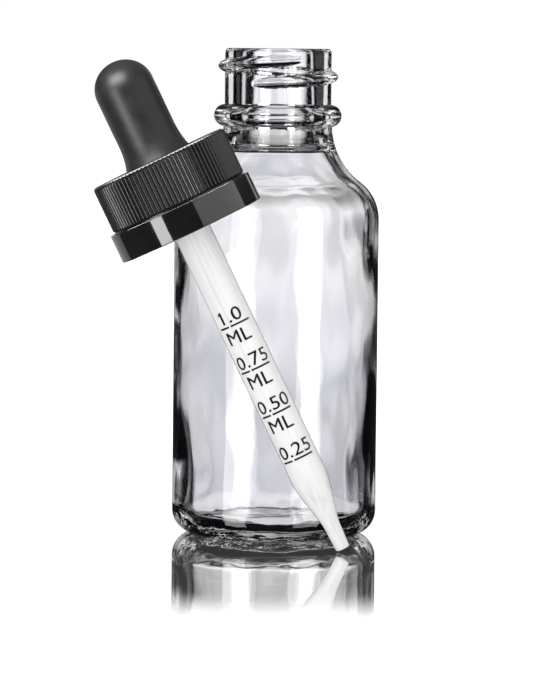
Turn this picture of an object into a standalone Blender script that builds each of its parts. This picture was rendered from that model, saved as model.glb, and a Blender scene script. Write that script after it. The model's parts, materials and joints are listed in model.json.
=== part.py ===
"""A glass medicine dropper, leaning in front of the bottle that its closure screws onto.

Frame: +Z up, -Y towards the viewer, origin at the middle of the set's footprint on the floor.
Lengths are in millimetres below and are turned into metres where the meshes are made.
"""

from math import acos, atan2, cos, degrees, pi, radians, sin

import bmesh
import bpy
from mathutils import Matrix, Vector

MM = 0.001
MERGE = 0.00001

# --- how the set stands -------------------------------------------------------------------
LEAN_DEG = 25.9  # the dropper's axis from the vertical, towards -X
TIP_AT = (12.95, -29.95, 0.95)  # middle of the tip, from the middle of the bottle's foot

# --- bottle: every radius from its own axis, every height from the floor ------------------
BOTTLE_STEPS = 40
BOTTLE_H = 93.8
BODY_R = 19.75
FOOT_WALL = 2.4  # the wall is thick at its foot, thin half way up and thicker at the shoulder
FOOT_WALL_TOP = 13.0
BODY_WALL = 1.3
BODY_WALL_HEIGHTS = (30.0, 47.0)
SHOULDER_WALL = 1.9
SHOULDER_WALL_FROM = 57.0
HEEL_R = 4.5
RING_INNER_R = 13.5  # inner edge of the flat ring that the bottle stands on
PUSH_UP = 1.6
FLOOR_T = 2.7
FLOOR_DOME = 0.8  # rise of the inner floor from its edge to its middle
FLOOR_EDGE_R = 3.0
SHOULDER_Z = 61.0  # where the straight wall ends
SHOULDER_OUT_R = 9.0  # rounding of the shoulder
SHOULDER_IN_R = 14.0  # hollow sweep from the shoulder into the neck
THROAT = [(9.6, 73.9), (8.3, 75.0), (7.35, 76.9), (6.9, 79.2)]  # inside, from the shoulder in to the bore
NECK_R = 10.25
NECK_FOOT_R = 10.45
BORE_R = 6.9
LIP_ROUND = 0.8
BORE_ROUND = 0.6
BEAD_Z = 80.9
BEAD_SECTION_R = 2.1

THREAD_PITCH = 4.0
THREAD_FRONT_Z = 91.4  # height of the ridge where it crosses the front
THREAD_START_DEG = -26.0  # from the front, counted towards -X
THREAD_END_DEG = 389.0
THREAD_RIDGE_R = 1.1
THREAD_RIDGE_AT = 10.45

# --- dropper: radii from its own axis, heights from its tip -------------------------------
DROPPER_L = 100.0
PIPETTE_R = 3.5
PIPETTE_WALL = 0.55
PIPETTE_TOP = 78.9
TIP_R = 1.35
TIP_NECK_R = 1.5
TIP_NECK_Z = 3.5  # the drawn tip is nearly straight up to here
TAPER_TOP_Z = 15.5

CAP_STEPS = 48
CAP_FOOT = 65.7
CAP_TOP = 80.45
PRESS_TRAVEL = 1.0  # how far the shell is pushed down to catch the inner cap
RUN = 0.2  # running clearance between the shell and the ring round it
GAP = 0.3  # clearance between pieces that touch

BAND_R = 14.12
BAND_TOP = 71.13
BAND_FOOT_TOP = 67.1
BAND_LIP_UNDER = 69.5
BAND_LIP_TOP = 70.1

SHELL_R = 13.05
SHELL_INNER_R = 12.6
SHELL_PLATE_T = 1.0
SHELL_FLANGE_R = 13.5
SHELL_FLANGE = (68.45, 69.25)
RIB_COUNT = 96
RIB_R = 13.3
RIB_W = 0.44
RIB_FOOT = 71.4
RIB_HEAD_DROP = 0.15

INNER_R = 12.3
INNER_BORE_R = 11.7
INNER_TOP = 77.4
INNER_PLATE_T = 0.9
INNER_FOOT = 65.9
TOOTH_COUNT = 12
TOOTH_RADII = (9.6, 11.4)
TOOTH_W = 1.3
TOOTH_H = 0.7
LUG_CLEAR = 0.1  # left under a lug when the shell is pressed right down
CAP_RIDGE_R = 0.55
CAP_THREAD_TOP = 73.0
CAP_THREAD_TURNS = 1.25

BULB_STEPS = 36
BULB_R = 5.62
BULB_FOOT_R = 6.4
BULB_FLARE_H = 6.0
BULB_FLARE_POWER = 1.3
BULB_DOME_H = 5.3
BULB_WALL = 1.05
BULB_SHANK_R = 6.3
BULB_FLANGE_R = 10.6
BULB_FLANGE = (75.3, 76.2)

WASHER = (74.2, 75.0)
WASHER_R = 11.2

SPRING_RADII = (7.4, 9.1)
SPRING_T = 0.3
SPRING_WAVES = 3
SPRING_HEIGHT = 1.75

GLASS = (0.86, 0.87, 0.90)
BLACK = (0.016, 0.016, 0.017)


# --- tools --------------------------------------------------------------------------------
def clear_scene():
    for thing in list(bpy.data.objects):
        bpy.data.objects.remove(thing, do_unlink=True)


def new_collection(name):
    group = bpy.data.collections.get(name) or bpy.data.collections.new(name)
    if group.name not in bpy.context.scene.collection.children:
        bpy.context.scene.collection.children.link(group)
    return group


def material(name, colour, roughness, metallic=0.0, transmission=0.0):
    made = bpy.data.materials.new(name)
    made.use_nodes = True
    shader = made.node_tree.nodes["Principled BSDF"]
    shader.inputs["Base Color"].default_value = (*colour, 1.0)
    shader.inputs["Roughness"].default_value = roughness
    shader.inputs["Metallic"].default_value = metallic
    shader.inputs["Transmission Weight"].default_value = transmission
    return made


def arc(centre, radius, start_deg, end_deg, count):
    """count points from start to end round centre, both ends included."""
    angles = [radians(start_deg + (end_deg - start_deg) * i / (count - 1)) for i in range(count)]
    return [(centre[0] + radius * cos(a), centre[1] + radius * sin(a)) for a in angles]


def empty(name, group, location=(0, 0, 0), parent=None):
    made = bpy.data.objects.new(name, None)
    made.empty_display_size = 0.01
    made.location = [value * MM for value in location]
    made.parent = parent
    group.objects.link(made)
    return made


def place(name, mesh, group, parent, skin):
    made = bpy.data.objects.new(name, mesh)
    made.parent = parent
    if skin is not None:
        mesh.materials.append(skin)
    group.objects.link(made)
    return made


def turned(name, outline, group, parent, skin, steps, closed):
    """A solid turned from (radius, height) points, which run down the outer side."""
    mesh = bpy.data.meshes.new(name)
    points = [(r * MM, 0.0, z * MM) for r, z in outline]
    edges = [(i, i + 1) for i in range(len(points) - 1)]
    if closed:
        edges.append((len(points) - 1, 0))
    mesh.from_pydata(points, edges, [])
    made = place(name, mesh, group, parent, skin)
    screw = made.modifiers.new("turn", "SCREW")
    screw.axis = "Z"
    screw.steps = steps
    screw.render_steps = steps
    screw.use_merge_vertices = True
    screw.merge_threshold = MERGE
    screw.use_smooth_shade = True
    return made


def tool_from(name, bm, group, parent):
    """A hidden mesh that a Boolean joins to a piece."""
    mesh = bpy.data.meshes.new(name)
    bm.to_mesh(mesh)
    bm.free()
    made = place(name, mesh, group, parent, None)
    made.display_type = "WIRE"
    made.hide_render = True
    return made


def join(piece, tool):
    union = piece.modifiers.new(tool.name, "BOOLEAN")
    union.operation = "UNION"
    union.solver = "EXACT"
    union.object = tool


def block(bm, size, middle, turn_deg):
    """Adds a box, in millimetres, turned about the Z axis."""
    there = Matrix.Rotation(radians(turn_deg), 4, "Z") @ Matrix.Translation(Vector(middle) * MM)
    scale = Matrix.Diagonal((size[0] * MM, size[1] * MM, size[2] * MM, 1.0))
    bmesh.ops.create_cube(bm, size=1.0, matrix=there @ scale)


def block_ring(name, count, radii, heights, width, first_deg, group, parent):
    """Equal blocks round the axis, from one radius to the other."""
    bm = bmesh.new()
    size = (radii[1] - radii[0], width, heights[1] - heights[0])
    middle = ((radii[0] + radii[1]) / 2, 0.0, (heights[0] + heights[1]) / 2)
    for i in range(count):
        block(bm, size, middle, first_deg + i * 360.0 / count)
    return tool_from(name, bm, group, parent)


def helix_ridge(name, at_r, ridge_r, angles, height, fade, group, parent):
    """A round ridge along a screw line. height(a) gives its height and fade(a) its share of full size."""
    curve = bpy.data.curves.new(name, "CURVE")
    curve.dimensions = "3D"
    curve.bevel_depth = ridge_r * MM
    curve.bevel_resolution = 2
    curve.use_fill_caps = True
    line = curve.splines.new("POLY")
    line.points.add(len(angles) - 1)
    for point, angle in zip(line.points, angles):
        a = radians(angle)
        share = fade(angle)
        radius = at_r(share) * MM
        point.co = (-radius * sin(a), -radius * cos(a), height(angle) * MM, 1.0)
        point.radius = share
    drawn = bpy.data.objects.new(name + "_line", curve)
    bpy.context.scene.collection.objects.link(drawn)
    bpy.context.view_layer.update()
    seen = drawn.evaluated_get(bpy.context.evaluated_depsgraph_get())
    bm = bmesh.new()
    bm.from_mesh(seen.to_mesh())
    bmesh.ops.remove_doubles(bm, verts=bm.verts, dist=MERGE)
    bmesh.ops.recalc_face_normals(bm, faces=bm.faces)
    bpy.data.objects.remove(drawn, do_unlink=True)
    return tool_from(name, bm, group, parent)


def end_fade(start, end, over):
    """A share that rises from a small value to 1 after start, and falls again before end."""
    def share(angle):
        inside = min(angle - start, end - angle) / over
        return 0.25 + 0.75 * sin(pi / 2 * max(0.0, min(1.0, inside)))
    return share


# --- bottle -------------------------------------------------------------------------------
def swept_shoulder(wall_r, wall_z, out_r, in_r, neck_r, counts):
    """Points up from a straight wall to a neck: a rounding, then a hollow sweep that meets it."""
    round_at = (wall_r - out_r, wall_z)
    across = neck_r + in_r - round_at[0]
    rise = ((out_r + in_r) ** 2 - across ** 2) ** 0.5
    sweep_at = (neck_r + in_r, wall_z + rise)
    meet = degrees(atan2(rise, across))
    lower = arc(round_at, out_r, 0, meet, counts[0])
    upper = arc(sweep_at, in_r, 180 + meet, 180, counts[1])
    return lower + upper[1:]


def bottle_outline():
    foot_r = BODY_R - FOOT_WALL
    flat_r = foot_r - FLOOR_EDGE_R
    floor = [(flat_r * i / 3, FLOOR_T + FLOOR_DOME * (1 - (i / 3) ** 2)) for i in range(3)]
    floor += arc((flat_r, FLOOR_T + FLOOR_EDGE_R), FLOOR_EDGE_R, -90, 0, 5)
    floor.append((foot_r, FOOT_WALL_TOP))
    inside = [(BODY_R - BODY_WALL, z) for z in BODY_WALL_HEIGHTS]
    inside.append((BODY_R - SHOULDER_WALL, SHOULDER_WALL_FROM))
    radii = (SHOULDER_OUT_R - SHOULDER_WALL, SHOULDER_IN_R + SHOULDER_WALL, NECK_FOOT_R - SHOULDER_WALL)
    sweep = swept_shoulder(BODY_R - SHOULDER_WALL, SHOULDER_Z, *radii, (7, 8))
    inside += [point for point in sweep if point[0] > THROAT[0][0] + 0.3] + THROAT
    lip = arc((BORE_R + BORE_ROUND, BOTTLE_H - BORE_ROUND), BORE_ROUND, 180, 90, 3)
    lip += arc((NECK_R - LIP_ROUND, BOTTLE_H - LIP_ROUND), LIP_ROUND, 90, 0, 4)
    bead_at_r = NECK_R - 0.05
    above = degrees(acos((NECK_R - bead_at_r) / BEAD_SECTION_R))
    below = degrees(acos((NECK_FOOT_R - bead_at_r) / BEAD_SECTION_R))
    bead = arc((bead_at_r, BEAD_Z), BEAD_SECTION_R, above, -below, 9)
    sweep = swept_shoulder(BODY_R, SHOULDER_Z, SHOULDER_OUT_R, SHOULDER_IN_R, NECK_FOOT_R, (7, 7))
    shoulder = [point for point in reversed(sweep) if point[1] < BEAD_Z - BEAD_SECTION_R - 0.3]
    heel = arc((BODY_R - HEEL_R, HEEL_R), HEEL_R, 0, -90, 6)
    base = [(RING_INNER_R, 0.0), (RING_INNER_R - 1.0, 0.6), (9.0, PUSH_UP - 0.3), (0.0, PUSH_UP)]
    return floor + inside + lip + bead + shoulder + heel + base


def make_bottle(parts, tools, root, skin):
    piece = turned("bottle", bottle_outline(), parts, root, skin, BOTTLE_STEPS, closed=False)
    count = 36
    span = THREAD_END_DEG - THREAD_START_DEG
    angles = [THREAD_START_DEG + span * i / count for i in range(count + 1)]
    ridge = helix_ridge(
        "bottle_thread",
        lambda share: THREAD_RIDGE_AT - 0.5 * (1 - share),
        THREAD_RIDGE_R,
        angles,
        lambda a: THREAD_FRONT_Z - THREAD_PITCH * a / 360.0,
        end_fade(THREAD_START_DEG, THREAD_END_DEG, 26.0),
        tools,
        root,
    )
    join(piece, ridge)
    return piece


# --- dropper ------------------------------------------------------------------------------
def pipette_radius(z):
    """Outer radius of the pipette at height z: a straight tube drawn down to a narrow tip."""
    if z <= TIP_NECK_Z:
        return TIP_R + (TIP_NECK_R - TIP_R) * z / TIP_NECK_Z
    share = min(1.0, (z - TIP_NECK_Z) / (TAPER_TOP_Z - TIP_NECK_Z))
    return TIP_NECK_R + (PIPETTE_R - TIP_NECK_R) * share * share * (3 - 2 * share)


def make_pipette(parts, frame, skin):
    count = 8
    taper = [TIP_NECK_Z + (TAPER_TOP_Z - TIP_NECK_Z) * i / count for i in range(count, -1, -1)]
    heights = [PIPETTE_TOP, *taper, 0.0]
    outside = [(pipette_radius(z), z) for z in heights]
    inside = [(pipette_radius(z) - PIPETTE_WALL, z) for z in reversed(heights)]
    return turned("glass_pipette", outside + inside, parts, frame, skin, 24, closed=True)


def bulb_outline():
    dome_z = DROPPER_L - BULB_DOME_H
    quarter = [pi / 2 * (1 - i / 7) for i in range(8)]
    dome = [(BULB_R * cos(a), dome_z + BULB_DOME_H * sin(a)) for a in quarter]
    dome[0] = (0.0, DROPPER_L)
    flare = []
    for i in range(1, 6):
        up = BULB_FLARE_H * (1 - i / 5)
        spread = ((BULB_FLARE_H - up) / BULB_FLARE_H) ** BULB_FLARE_POWER
        flare.append((BULB_R + (BULB_FOOT_R - BULB_R) * spread, CAP_TOP + up))
    flare.insert(0, (BULB_R, CAP_TOP + BULB_FLARE_H))
    shank = [(BULB_SHANK_R, CAP_TOP - 0.6), (BULB_SHANK_R, BULB_FLANGE[1])]
    flange = [(BULB_FLANGE_R, BULB_FLANGE[1]), (BULB_FLANGE_R, BULB_FLANGE[0])]
    grip_r = PIPETTE_R + GAP
    room_r = BULB_R - BULB_WALL
    grip = [(grip_r, BULB_FLANGE[0]), (grip_r, PIPETTE_TOP + 0.4), (room_r, PIPETTE_TOP + 1.2)]
    rising = [pi / 2 * i / 5 for i in range(6)]
    room = [(room_r * cos(a), dome_z + (BULB_DOME_H - BULB_WALL) * sin(a)) for a in rising]
    room[-1] = (0.0, DROPPER_L - BULB_WALL)
    return dome + flare + shank + flange + grip + room


def make_inner_cap(parts, tools, frame, skin):
    hole_r = BULB_SHANK_R + GAP
    outline = [
        (hole_r, INNER_TOP),
        (INNER_R - 0.4, INNER_TOP),
        (INNER_R, INNER_TOP - 0.4),
        (INNER_R, INNER_FOOT),
        (INNER_BORE_R, INNER_FOOT),
        (INNER_BORE_R, INNER_TOP - INNER_PLATE_T),
        (hole_r, INNER_TOP - INNER_PLATE_T),
    ]
    piece = turned("inner_cap", outline, parts, frame, skin, CAP_STEPS, closed=True)
    teeth_z = (INNER_TOP - 0.2, INNER_TOP + TOOTH_H)
    teeth = block_ring("inner_teeth", TOOTH_COUNT, TOOTH_RADII, teeth_z, TOOTH_W, 0.0, tools, frame)
    join(piece, teeth)
    end = 360.0 * CAP_THREAD_TURNS
    ridge = helix_ridge(
        "inner_thread",
        lambda share: INNER_BORE_R + 0.3 * (1 - share),
        CAP_RIDGE_R,
        [end * i / 32 for i in range(33)],
        lambda a: CAP_THREAD_TOP - THREAD_PITCH * a / 360.0,
        end_fade(0.0, end, 30.0),
        tools,
        frame,
    )
    join(piece, ridge)
    return piece


def make_outer_shell(parts, tools, frame, skin):
    hole_r = BULB_FOOT_R + GAP
    plate_under = CAP_TOP - SHELL_PLATE_T
    outline = [
        (hole_r, CAP_TOP),
        (SHELL_R - 0.3, CAP_TOP),
        (SHELL_R, CAP_TOP - 0.3),
        (SHELL_R, SHELL_FLANGE[1]),
        (SHELL_FLANGE_R, SHELL_FLANGE[1]),
        (SHELL_FLANGE_R, SHELL_FLANGE[0]),
        (SHELL_INNER_R, SHELL_FLANGE[0]),
        (SHELL_INNER_R, plate_under),
        (hole_r, plate_under),
    ]
    piece = turned("outer_shell", outline, parts, frame, skin, CAP_STEPS, closed=True)
    ribs_z = (RIB_FOOT, CAP_TOP - RIB_HEAD_DROP)
    rib_radii = (SHELL_R - 0.2, RIB_R)
    join(piece, block_ring("shell_ribs", RIB_COUNT, rib_radii, ribs_z, RIB_W, 0.0, tools, frame))
    lug_foot = INNER_TOP + PRESS_TRAVEL + LUG_CLEAR
    half_pitch = 180.0 / TOOTH_COUNT
    lugs_z = (lug_foot, plate_under + 0.2)
    join(piece, block_ring("shell_lugs", TOOTH_COUNT, TOOTH_RADII, lugs_z, TOOTH_W, half_pitch, tools, frame))
    return piece


def make_retaining_ring(parts, frame, skin):
    fit_r = INNER_R + GAP
    cavity_r = SHELL_FLANGE_R + RUN
    outline = [
        (BAND_R - 0.25, BAND_TOP),
        (BAND_R, BAND_TOP - 0.25),
        (BAND_R, CAP_FOOT + 0.15),
        (BAND_R - 0.15, CAP_FOOT),
        (fit_r, CAP_FOOT),
        (fit_r, BAND_FOOT_TOP),
        (cavity_r, BAND_FOOT_TOP),
        (cavity_r, BAND_LIP_UNDER),
        (SHELL_R + RUN, BAND_LIP_UNDER),
        (SHELL_R + RUN, BAND_LIP_TOP),
        (RIB_R + RUN, BAND_LIP_TOP),
        (RIB_R + RUN, BAND_TOP),
    ]
    return turned("retaining_ring", outline, parts, frame, skin, CAP_STEPS, closed=True)


def make_spring_ring(parts, frame, skin):
    """A flat ring bent into waves, between the inner cap and the shell."""
    steps = 48
    swing = (SPRING_HEIGHT - SPRING_T) / 2
    middle_z = (INNER_TOP + CAP_TOP - SHELL_PLATE_T) / 2
    bm = bmesh.new()
    corners = []
    for radius in SPRING_RADII:
        corners.append(bm.verts.new((radius * MM, 0, (middle_z - SPRING_T / 2) * MM)))
        corners.append(bm.verts.new((radius * MM, 0, (middle_z + SPRING_T / 2) * MM)))
    inner_low, inner_high, outer_low, outer_high = corners
    loop = [(inner_low, inner_high), (inner_high, outer_high), (outer_high, outer_low), (outer_low, inner_low)]
    section = corners + [bm.edges.new(pair) for pair in loop]
    bmesh.ops.spin(bm, geom=section, cent=(0, 0, 0), axis=(0, 0, 1), angle=2 * pi, steps=steps, use_merge=True)
    bmesh.ops.remove_doubles(bm, verts=bm.verts, dist=MERGE)
    for vert in bm.verts:
        vert.co.z += swing * MM * cos(SPRING_WAVES * atan2(vert.co.y, vert.co.x))
    bmesh.ops.recalc_face_normals(bm, faces=bm.faces)
    mesh = bpy.data.meshes.new("spring_ring")
    bm.to_mesh(mesh)
    bm.free()
    mesh.shade_smooth()
    return place("spring_ring", mesh, parts, frame, skin)


def make_washer(parts, frame, skin):
    inner = PIPETTE_R + GAP
    outline = [(WASHER_R, WASHER[1]), (WASHER_R, WASHER[0]), (inner, WASHER[0]), (inner, WASHER[1])]
    return turned("seal_washer", outline, parts, frame, skin, 32, closed=True)


# --- assembly -----------------------------------------------------------------------------
def centre_footprint(root, pieces):
    """Moves the root so that the origin is the middle of the set's footprint, on the floor."""
    bpy.context.view_layer.update()
    graph = bpy.context.evaluated_depsgraph_get()
    corners = []
    for piece in pieces:
        seen = piece.evaluated_get(graph)
        mesh = seen.to_mesh()
        corners += [seen.matrix_world @ vert.co for vert in mesh.vertices]
        seen.to_mesh_clear()
    low = [min(c[i] for c in corners) for i in range(3)]
    high = [max(c[i] for c in corners) for i in range(3)]
    root.location.x -= (low[0] + high[0]) / 2
    root.location.y -= (low[1] + high[1]) / 2
    root.location.z -= low[2]


def main():
    clear_scene()
    parts = new_collection("medicine_dropper")
    tools = new_collection("tools")
    glass = material("clear_glass", GLASS, 0.02, transmission=1.0)
    rubber = material("black_rubber", BLACK, 0.55)
    ribbed = material("satin_black_plastic", BLACK, 0.38)
    gloss = material("gloss_black_plastic", (0.008, 0.008, 0.009), 0.06)
    satin = material("plain_black_plastic", (0.02, 0.02, 0.021), 0.32)
    steel = material("spring_steel", (0.55, 0.55, 0.56), 0.25, metallic=1.0)
    foam = material("seal_foam", (0.88, 0.88, 0.86), 0.7)

    root = empty("set_origin", parts)
    dropper = empty("dropper_axis", parts, TIP_AT, root)
    dropper.rotation_euler = (0.0, -radians(LEAN_DEG), 0.0)

    pieces = [
        make_bottle(parts, tools, root, glass),
        make_pipette(parts, dropper, glass),
        turned("rubber_bulb", bulb_outline(), parts, dropper, rubber, BULB_STEPS, closed=False),
        make_inner_cap(parts, tools, dropper, satin),
        make_outer_shell(parts, tools, dropper, ribbed),
        make_retaining_ring(parts, dropper, gloss),
        make_spring_ring(parts, dropper, steel),
        make_washer(parts, dropper, foam),
    ]
    centre_footprint(root, pieces)


main()
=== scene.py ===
import json
from math import acos, atan2, cos, degrees, pi, radians, sin, sqrt, tan

import bmesh
import bpy
from mathutils import Matrix, Vector


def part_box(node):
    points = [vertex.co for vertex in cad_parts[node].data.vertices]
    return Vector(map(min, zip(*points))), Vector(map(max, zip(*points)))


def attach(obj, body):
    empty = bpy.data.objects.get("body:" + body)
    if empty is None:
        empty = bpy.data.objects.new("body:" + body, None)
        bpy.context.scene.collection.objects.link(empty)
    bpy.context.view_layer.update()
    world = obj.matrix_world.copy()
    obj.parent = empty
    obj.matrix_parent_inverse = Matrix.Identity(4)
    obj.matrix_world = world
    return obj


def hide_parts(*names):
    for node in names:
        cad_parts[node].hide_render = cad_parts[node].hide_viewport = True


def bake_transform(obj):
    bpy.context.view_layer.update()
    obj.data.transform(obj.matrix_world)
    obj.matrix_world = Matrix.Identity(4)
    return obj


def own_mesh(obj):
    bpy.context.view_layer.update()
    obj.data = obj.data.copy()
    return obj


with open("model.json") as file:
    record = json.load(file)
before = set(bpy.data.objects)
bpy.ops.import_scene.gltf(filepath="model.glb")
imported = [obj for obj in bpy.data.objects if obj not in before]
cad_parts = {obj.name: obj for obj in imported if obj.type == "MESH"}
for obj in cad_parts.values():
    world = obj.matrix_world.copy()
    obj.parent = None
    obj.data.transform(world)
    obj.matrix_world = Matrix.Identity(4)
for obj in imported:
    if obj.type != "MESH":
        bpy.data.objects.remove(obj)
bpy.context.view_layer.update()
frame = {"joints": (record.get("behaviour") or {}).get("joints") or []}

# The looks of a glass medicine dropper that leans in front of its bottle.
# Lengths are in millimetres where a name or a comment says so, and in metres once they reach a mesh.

MM = 0.001
JOINTS = {joint["name"]: joint for joint in frame["joints"]}


def box_middle(node):
    low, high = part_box(node)
    return (low + high) / 2


# --- where things stand, from the frame ---------------------------------------------------
BOTTLE_AXIS = box_middle("bottle")
TURN = JOINTS["shell_turn"]
TURN_POINT_UP = 75.0  # mm from the dropper's tip to the point that the shell's joint names
DROPPER_N = Vector(TURN["axis"]).normalized()
DROPPER_U = Vector((DROPPER_N.z, 0.0, -DROPPER_N.x))
TIP = Vector(TURN["pos_m"]) - DROPPER_N * TURN_POINT_UP * MM
LEAN = atan2(-DROPPER_N.x, DROPPER_N.z)


def axes_matrix(across, deep, up, origin):
    columns = (across, deep, up, origin)
    return Matrix([[column[i] for column in columns] for i in range(3)] + [[0, 0, 0, 1]])


BOTTLE_PLACE = Matrix.Translation((BOTTLE_AXIS.x, BOTTLE_AXIS.y, 0.0))
DROPPER_PLACE = axes_matrix(DROPPER_U, Vector((0, 1, 0)), DROPPER_N, TIP)

# --- bottle, in mm from its own axis and from the floor ------------------------------------
BOTTLE_STEPS = 288
BOTTLE_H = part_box("bottle")[1].z / MM
BODY_R = (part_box("bottle")[1].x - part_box("bottle")[0].x) / 2 / MM
FOOT_WALL = 2.4
FOOT_WALL_TOP = 13.0
BODY_WALL = 1.3
BODY_WALL_HEIGHTS = (30.0, 47.0)
SHOULDER_WALL = 1.9
SHOULDER_WALL_FROM = 57.0
HEEL_R = 4.5
RING_INNER_R = 13.5
PUSH_UP = 1.6
FLOOR_T = 2.7
FLOOR_DOME = 0.8
FLOOR_EDGE_R = 3.0
SHOULDER_Z = 61.0
SHOULDER_OUT_R = 9.0
SHOULDER_IN_R = 14.0
THROAT = ((9.6, 73.9), (8.3, 75.0), (7.35, 76.9), (6.9, 79.2))  # inside, from the shoulder in to the bore
THROAT_ROUND = 0.7
NECK_R = 10.25
NECK_FOOT_R = 10.45
BORE_R = 6.9
LIP_ROUND = 0.8
BORE_ROUND = 0.6
BEAD_Z = 80.9
BEAD_SECTION_R = 2.1
THREAD_PITCH = 4.0
THREAD_FRONT_Z = 91.4
THREAD_START_DEG = -26.0
THREAD_END_DEG = 389.0
THREAD_FADE_DEG = 26.0
THREAD_H = 1.3
THREAD_HALF_W = 1.15

# --- dropper, in mm from its tip along its own axis -----------------------------------------
DROPPER_L = 100.0
PIPETTE_R = 3.5
PIPETTE_WALL = 0.55
PIPETTE_TOP = 78.9
TIP_R = 1.35
TIP_NECK_R = 1.5
TIP_NECK_Z = 3.5
TAPER_TOP_Z = 15.5

CAP_FOOT = 65.7
CAP_TOP = 80.45
GAP = 0.3
RUN = 0.2
PRESS_TRAVEL = 1.0
BAND_R = 14.115
BAND_TOP = 71.13
BAND_FOOT_TOP = 67.1
BAND_LIP = (69.5, 70.1)
SHELL_R = 13.05
SHELL_INNER_R = 12.6
SHELL_PLATE_T = 1.0
SHELL_FLANGE_R = 13.5
SHELL_FLANGE = (68.45, 69.25)
RIB_COUNT = 96
RIB_R = 13.3
RIB_FOOT = 71.4
RIB_HEAD = 80.3
RIB_END = 0.25
INNER_R = 12.3
INNER_BORE_R = 11.7
INNER_TOP = 77.4
INNER_PLATE_T = 0.9
INNER_FOOT = 65.9
TOOTH_COUNT = 12
TOOTH_RADII = (9.6, 11.4)
TOOTH_W = 1.3
TOOTH_H = 0.7
LUG_CLEAR = 0.1
CAP_RIDGE_H = 0.5
CAP_THREAD_TOP = 73.0
CAP_THREAD_TURNS = 1.25
BULB_R = 5.62
BULB_FOOT_R = 6.4
BULB_FLARE_H = 5.2
BULB_FLARE_POWER = 2.3
BULB_DOME_H = 5.3
BULB_WALL = 1.05
BULB_SHANK_R = 6.3
BULB_FLANGE_R = 10.6
BULB_FLANGE = (75.3, 76.2)
WASHER = (74.2, 75.0)
WASHER_R = 11.2
SPRING_RADII = (7.4, 9.1)
SPRING_T = 0.3
SPRING_WAVES = 3
SPRING_HEIGHT = 1.75

# volume marks: the line's height, the words above it, and the words' left and right as seen from the front
MARKS = (
    (46.7, "1.0", -2.1, 1.8),
    (37.7, "0.75", -2.9, 2.8),
    (28.6, "0.50", -2.9, 2.8),
    (19.2, "0.25", -2.9, 2.8),
)
UNIT = "ML"
UNIT_SPAN = (-2.45, 1.8)
UNIT_DROP = 3.45  # from a line down to the foot of the unit that is printed under it
MARK_LINE = (-3.0, 2.65)
MARK_BREAK = (-1.35, -1.0)
MARK_LINE_W = 0.36
MARK_TEXT_RISE = 0.62
MARK_TEXT_H = 2.5
INK_T = 0.012
INK_SPREAD = ((-0.035, -0.02), (0.035, 0.02))  # mm that copies of the print are shifted by


# --- nodes ----------------------------------------------------------------------------------
def put(tree, kind, values=None, **settings):
    """Adds a node. values are its inputs by name or number, each a plain value or another node's output."""
    made = tree.nodes.new("ShaderNode" + kind)
    for key, value in settings.items():
        setattr(made, key, value)
    for key, value in (values or {}).items():
        if isinstance(value, bpy.types.NodeSocket):
            tree.links.new(value, made.inputs[key])
        else:
            made.inputs[key].default_value = value
    return made


def maths(tree, operation, first, second=0.0, clamp=False):
    return put(tree, "Math", {0: first, 1: second}, operation=operation, use_clamp=clamp).outputs[0]


def vector_maths(tree, operation, first, second):
    return put(tree, "VectorMath", {0: first, 1: second}, operation=operation)


def ramp(tree, value, *stops):
    """A colour ramp. Each stop is (place, colour), and a colour may be one grey level."""
    made = put(tree, "ValToRGB", {"Fac": value})
    elements = made.color_ramp.elements
    while len(elements) < len(stops):
        elements.new(0.5)
    for element, (place, colour) in zip(elements, stops):
        element.position = place
        grey = isinstance(colour, (int, float))
        element.color = (colour, colour, colour, 1.0) if grey else (*colour, 1.0)
    return made.outputs["Color"]


def coordinates(tree, stretch=(1.0, 1.0, 1.0), lean=0.0):
    """Object coordinates in millimetres, turned upright by lean and then stretched."""
    spot = put(tree, "TexCoord").outputs["Object"]
    if lean:
        spot = put(tree, "Mapping", {"Vector": spot, "Rotation": (0.0, lean, 0.0)}).outputs["Vector"]
    scale = tuple(value / MM for value in stretch)
    return put(tree, "Mapping", {"Vector": spot, "Scale": scale}).outputs["Vector"]


def noise(tree, spot, scale, detail=4.0, roughness=0.55):
    values = {"Vector": spot, "Scale": scale, "Detail": detail, "Roughness": roughness}
    return put(tree, "TexNoise", values).outputs["Fac"]


def bump(tree, height, strength, distance, normal=None):
    values = {"Height": height, "Strength": strength, "Distance": distance * MM}
    if normal is not None:
        values["Normal"] = normal
    return put(tree, "Bump", values).outputs["Normal"]


def blank(name, **values):
    """A new material, with numbers and colours set on its Principled shader."""
    made = bpy.data.materials.new(name)
    made.use_nodes = True
    tree = made.node_tree
    shader = tree.nodes["Principled BSDF"]
    for key, value in values.items():
        shader.inputs[key.replace("_", " ")].default_value = value
    return made, tree, shader


def join(tree, output, shader, name):
    tree.links.new(output, shader.inputs[name])


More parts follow.
